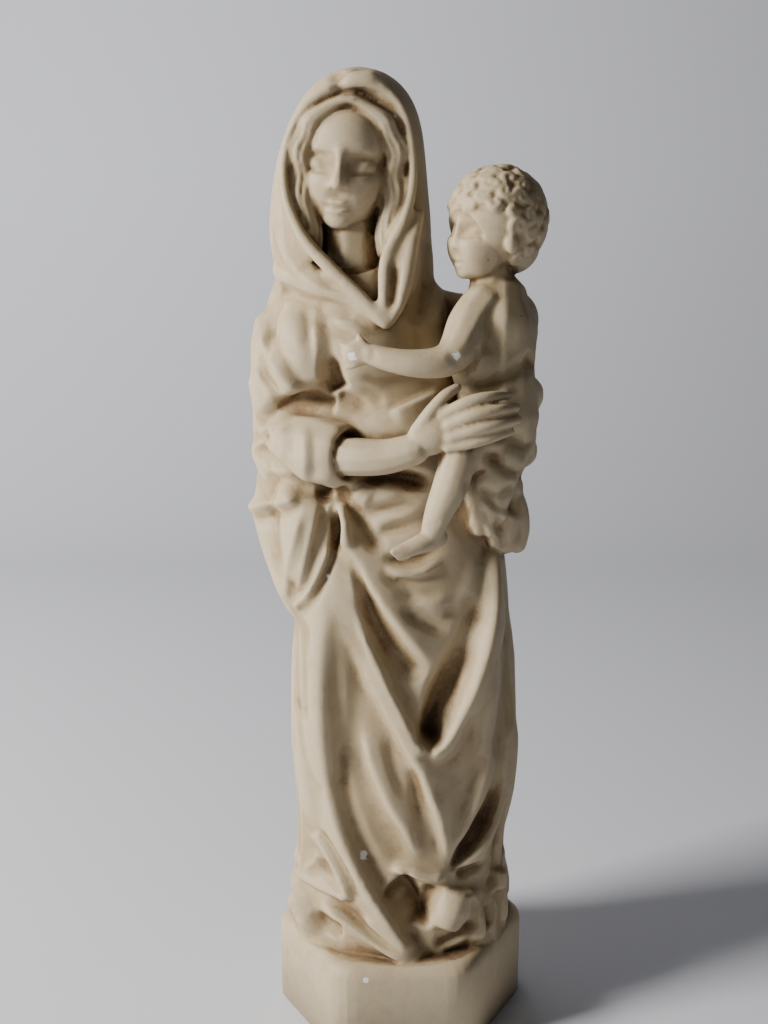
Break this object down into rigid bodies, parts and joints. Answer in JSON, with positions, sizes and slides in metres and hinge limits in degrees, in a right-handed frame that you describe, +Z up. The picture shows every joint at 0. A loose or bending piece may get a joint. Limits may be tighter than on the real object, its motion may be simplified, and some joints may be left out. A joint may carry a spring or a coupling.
{
  "type": "virgin mary statue",
  "caption": "Small cast plaster statue of a standing veiled mother holding a child on her arm, on a low six-sided plinth.",
  "frame": {"origin": "centre of the plinth's underside", "axes": "+Z up, -Y the way the figure faces, +X to the viewer's right"},
  "size_m": [0.0892, 0.0715, 0.2987],
  "materials": {
    "plaster": "matt"
  },
  "bodies": {
    "root": {"madonna_and_child": "plaster"}
  },
  "joints": []
}
